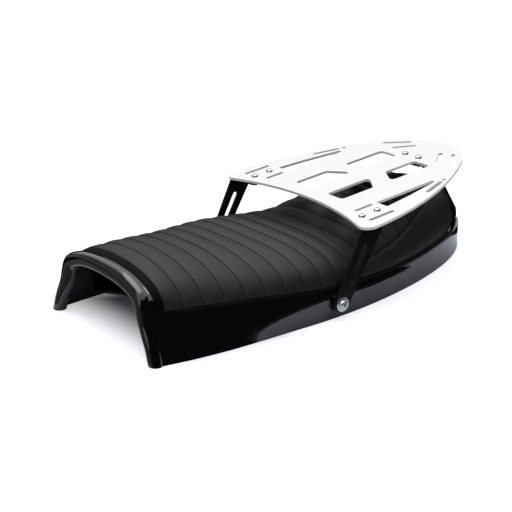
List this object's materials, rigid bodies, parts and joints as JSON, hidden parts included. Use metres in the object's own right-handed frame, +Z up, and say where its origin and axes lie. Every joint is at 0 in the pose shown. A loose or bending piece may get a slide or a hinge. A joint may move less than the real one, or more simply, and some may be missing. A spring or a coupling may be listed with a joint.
{
  "type": "scrambler seat",
  "caption": "Motorcycle seat with a gloss moulded pan and arched nose, a pleated vinyl cushion with a raised rear hump, and a flat cut-out luggage rack on slotted brackets.",
  "frame": {"origin": "centre of the bounding box at the bottom of the pan, where it stands", "axes": "+X to the front of the seat, +Y to the rider's left, +Z up"},
  "size_m": [0.6832, 0.338, 0.168],
  "materials": {
    "pan_gloss": "high gloss",
    "vinyl": "satin grained",
    "trim_black": "satin",
    "base_black": "matt",
    "rack_alloy": "brushed",
    "bracket_black": "satin powder coat",
    "bright_steel": "bright zinc",
    "rubber_black": "matt",
    "brass": "turned"
  },
  "bodies": {
    "root": {"seat_shell": "pan_gloss", "cushion": "vinyl", "edge_trim": "trim_black", "base_plate": "base_black", "rack_plate": "rack_alloy", "left_bracket": "bracket_black", "right_bracket": "bracket_black", "rear_strap": "bracket_black", "rack_screws": "bright_steel", "rack_nuts": "bright_steel", "strap_bolts": "bright_steel", "strap_nuts": "bright_steel", "bracket_washers": "bright_steel", "bracket_bolts": "bright_steel", "bracket_nuts": "bright_steel", "rubber_buffers": "rubber_black", "frame_inserts": "brass", "buffer_screws": "bright_steel", "buffer_nuts": "bright_steel"}
  },
  "joints": []
}
